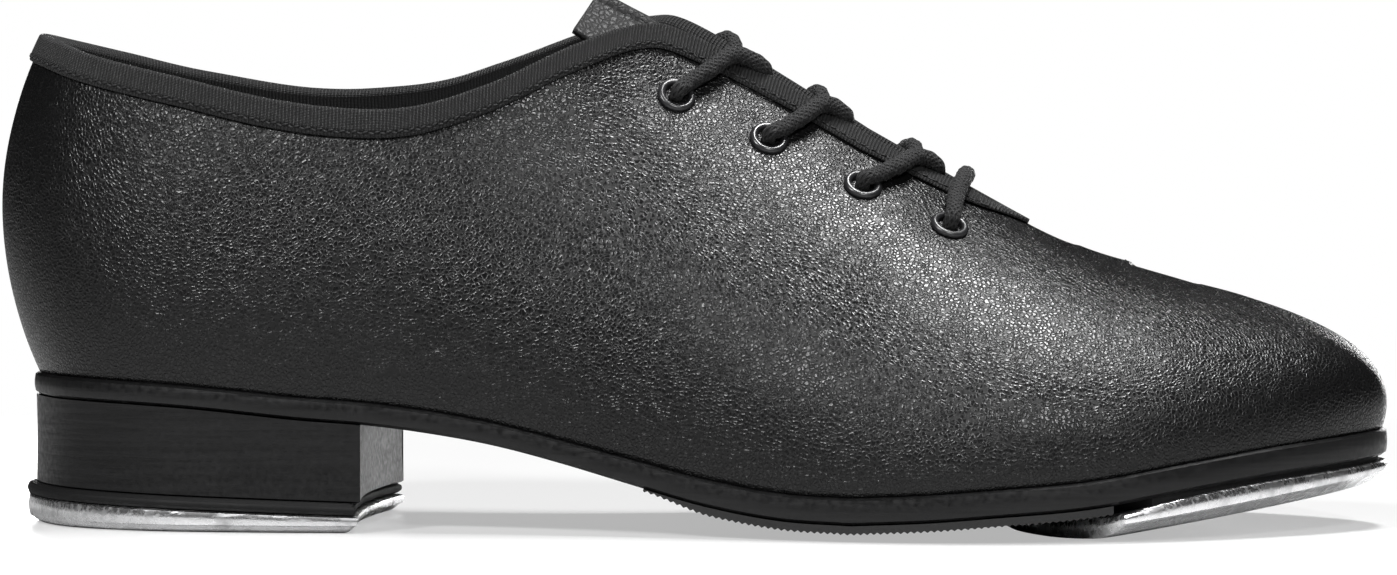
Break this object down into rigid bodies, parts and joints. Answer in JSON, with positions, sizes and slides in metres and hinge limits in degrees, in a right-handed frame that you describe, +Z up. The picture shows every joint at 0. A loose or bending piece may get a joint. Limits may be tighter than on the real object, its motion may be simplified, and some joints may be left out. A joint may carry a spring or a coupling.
{
  "type": "tap shoe",
  "caption": "Low lace-up leather tap shoe for the right foot, with polished metal taps screwed under the toe and the heel.",
  "frame": {"origin": "centre of the overall box in plan, on the ground under the shoe", "axes": "+X from heel to toe, +Y to the inner side of the foot, +Z up"},
  "size_m": [0.2792, 0.1006, 0.1061],
  "materials": {
    "upper_leather": "fine pebbled grain, soft sheen, black",
    "lining_fabric": "matt black woven lining",
    "stiffener": "resin-stiffened canvas",
    "binding_tape": "ribbed black tape",
    "insole_board": "matt fibreboard",
    "cork": "granulated cork sheet",
    "steel": "plain steel",
    "sole_leather": "smooth black edge dressing",
    "tread_rubber": "matt black ribbed rubber",
    "fibre_board": "pressed black fibreboard",
    "tap_metal": "polished casting with fine scratches",
    "eyelet_metal": "satin black",
    "aglet_plastic": "gloss black",
    "lace_braid": "round black braid"
  },
  "bodies": {
    "rearfoot": {"lateral_quarter": "upper_leather", "medial_quarter": "upper_leather", "vamp_flex_panel": "upper_leather", "quarter_lining": "lining_fabric", "vamp_lining_flex_panel": "lining_fabric", "heel_counter": "stiffener", "lateral_facing_stay": "stiffener", "medial_facing_stay": "stiffener", "topline_binding": "binding_tape", "insole_board_rear": "insole_board", "sock_liner_rear": "lining_fabric", "cork_filler_rear": "cork", "steel_shank": "steel", "outsole_rear": "sole_leather", "ball_tread_rear": "tread_rubber", "heel_block": "sole_leather", "heel_pad": "fibre_board", "heel_tap": "tap_metal", "heel_nail_1": "steel", "heel_nail_2": "steel", "heel_nail_3": "steel", "heel_nail_4": "steel", "heel_nail_5": "steel", "eyelet_lateral_1": "eyelet_metal", "eyelet_lateral_2": "eyelet_metal", "eyelet_lateral_3": "eyelet_metal", "eyelet_lateral_4": "eyelet_metal", "eyelet_medial_1": "eyelet_metal", "eyelet_medial_2": "eyelet_metal", "eyelet_medial_3": "eyelet_metal", "eyelet_medial_4": "eyelet_metal", "tongue": "upper_leather", "lace": "lace_braid", "lace_aglet_lateral": "aglet_plastic", "lace_aglet_medial": "aglet_plastic"},
    "forefoot": {"vamp_toe": "upper_leather", "vamp_lining": "lining_fabric", "toe_puff": "stiffener", "insole_board_front": "insole_board", "sock_liner_front": "lining_fabric", "cork_filler_front": "cork", "outsole_front": "sole_leather", "ball_tread_front": "tread_rubber", "toe_soundboard": "fibre_board", "toe_tap": "tap_metal"},
    "tongue_tip": {"tongue_tip": "upper_leather"},
    "toe_tap_screw_lateral": {"toe_tap_screw_lateral": "steel"},
    "toe_tap_screw_medial": {"toe_tap_screw_medial": "steel"},
    "toe_tap_screw_front": {"toe_tap_screw_front": "steel"},
    "heel_tap_screw_lateral": {"heel_tap_screw_lateral": "steel"},
    "heel_tap_screw_medial": {"heel_tap_screw_medial": "steel"},
    "heel_tap_screw_back": {"heel_tap_screw_back": "steel"}
  },
  "joints": [
    {"name": "forefoot_flex", "type": "hinge", "parent": "rearfoot", "child": "forefoot", "pos_m": [0.05035, 0.0005, 0.00918], "axis": [0, -1, 0], "range_deg": [0, 25], "stiffness_Nm_per_rad": 4, "deforming": ["vamp_flex_panel", "vamp_lining_flex_panel"]},
    {"name": "tongue_fold", "type": "hinge", "parent": "rearfoot", "child": "tongue_tip", "pos_m": [-0.01012, 0.002, 0.10121], "axis": [0, 1, 0], "range_deg": [0, 60], "stiffness_Nm_per_rad": 0.02},
    {"name": "toe_tap_screw_lateral_turn", "type": "hinge", "parent": "forefoot", "child": "toe_tap_screw_lateral", "pos_m": [0.08033, -0.0285, 0.00057], "axis": [-0.0797, 0, 0.9968], "continuous": true},
    {"name": "toe_tap_screw_medial_turn", "type": "hinge", "parent": "forefoot", "child": "toe_tap_screw_medial", "pos_m": [0.08133, 0.0315, 0.00065], "axis": [-0.0896, 0, 0.996], "continuous": true},
    {"name": "toe_tap_screw_front_turn", "type": "hinge", "parent": "forefoot", "child": "toe_tap_screw_front", "pos_m": [0.12231, 0.0045, 0.0068], "axis": [-0.1532, 0, 0.9882], "continuous": true},
    {"name": "heel_tap_screw_lateral_turn", "type": "hinge", "parent": "rearfoot", "child": "heel_tap_screw_lateral", "pos_m": [-0.07965, -0.0195, 0.00025], "axis": [0, 0, 1], "continuous": true},
    {"name": "heel_tap_screw_medial_turn", "type": "hinge", "parent": "rearfoot", "child": "heel_tap_screw_medial", "pos_m": [-0.07965, 0.0195, 0.00025], "axis": [0, 0, 1], "continuous": true},
    {"name": "heel_tap_screw_back_turn", "type": "hinge", "parent": "rearfoot", "child": "heel_tap_screw_back", "pos_m": [-0.11965, 0.0005, 0.00025], "axis": [0, 0, 1], "continuous": true}
  ]
}
